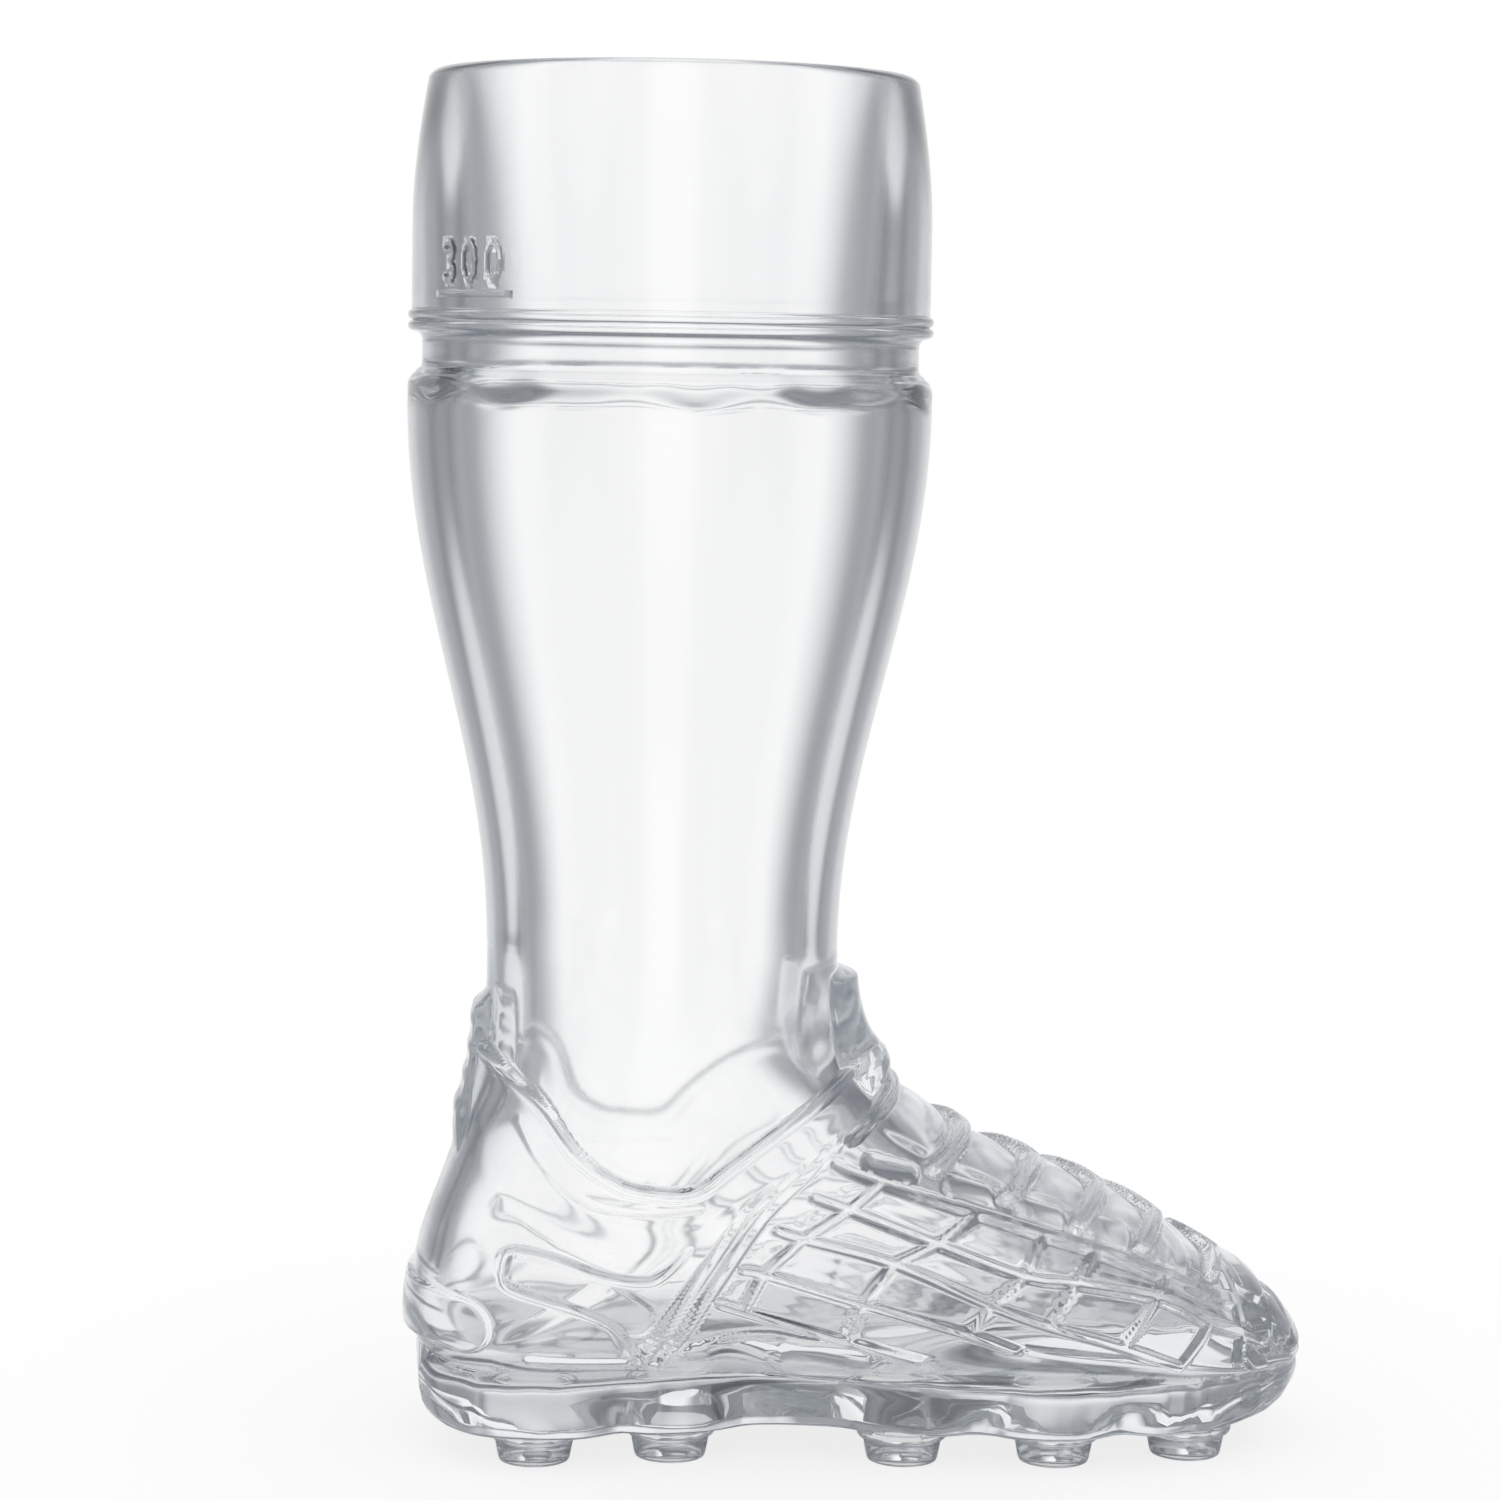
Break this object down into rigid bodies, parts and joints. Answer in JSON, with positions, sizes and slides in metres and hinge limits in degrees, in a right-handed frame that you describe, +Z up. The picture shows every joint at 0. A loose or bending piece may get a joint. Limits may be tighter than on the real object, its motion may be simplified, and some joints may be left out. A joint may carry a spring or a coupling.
{
  "type": "beer boot glass",
  "caption": "Drinking glass shaped like a football boot: a tall round leg with a banded rim runs down into a hollow, laced and studded foot, all moulded in clear glass",
  "frame": {"origin": "middle of the boot's plan box, on the table, at the height of the studs' lower faces", "axes": "+X points from the heel to the toe, +Y to the far side of the boot, and +Z up through the leg and its open rim"},
  "size_m": [0.1296, 0.0736, 0.193],
  "materials": {
    "clear_glass": "polished, clear"
  },
  "bodies": {
    "root": {"rim_band": "clear_glass", "fill_line": "clear_glass", "fill_number": "clear_glass", "ring_bead": "clear_glass", "neck_groove": "clear_glass", "calf": "clear_glass", "shin": "clear_glass", "ankle_wall": "clear_glass", "heel_wall": "clear_glass", "waist_wall": "clear_glass", "vamp_wall": "clear_glass", "toe_wall": "clear_glass", "ankle_collar": "clear_glass", "heel_tab": "clear_glass", "heel_cups": "clear_glass", "heel_pads": "clear_glass", "diagonal_stripes": "clear_glass", "arch_pads": "clear_glass", "tongue": "clear_glass", "lace_bars": "clear_glass", "lace_pads": "clear_glass", "eyestay_pads": "clear_glass", "long_ribs": "clear_glass", "cross_ribs": "clear_glass", "side_lugs": "clear_glass", "sole_plate": "clear_glass", "heel_studs": "clear_glass", "forefoot_studs": "clear_glass"}
  },
  "joints": []
}
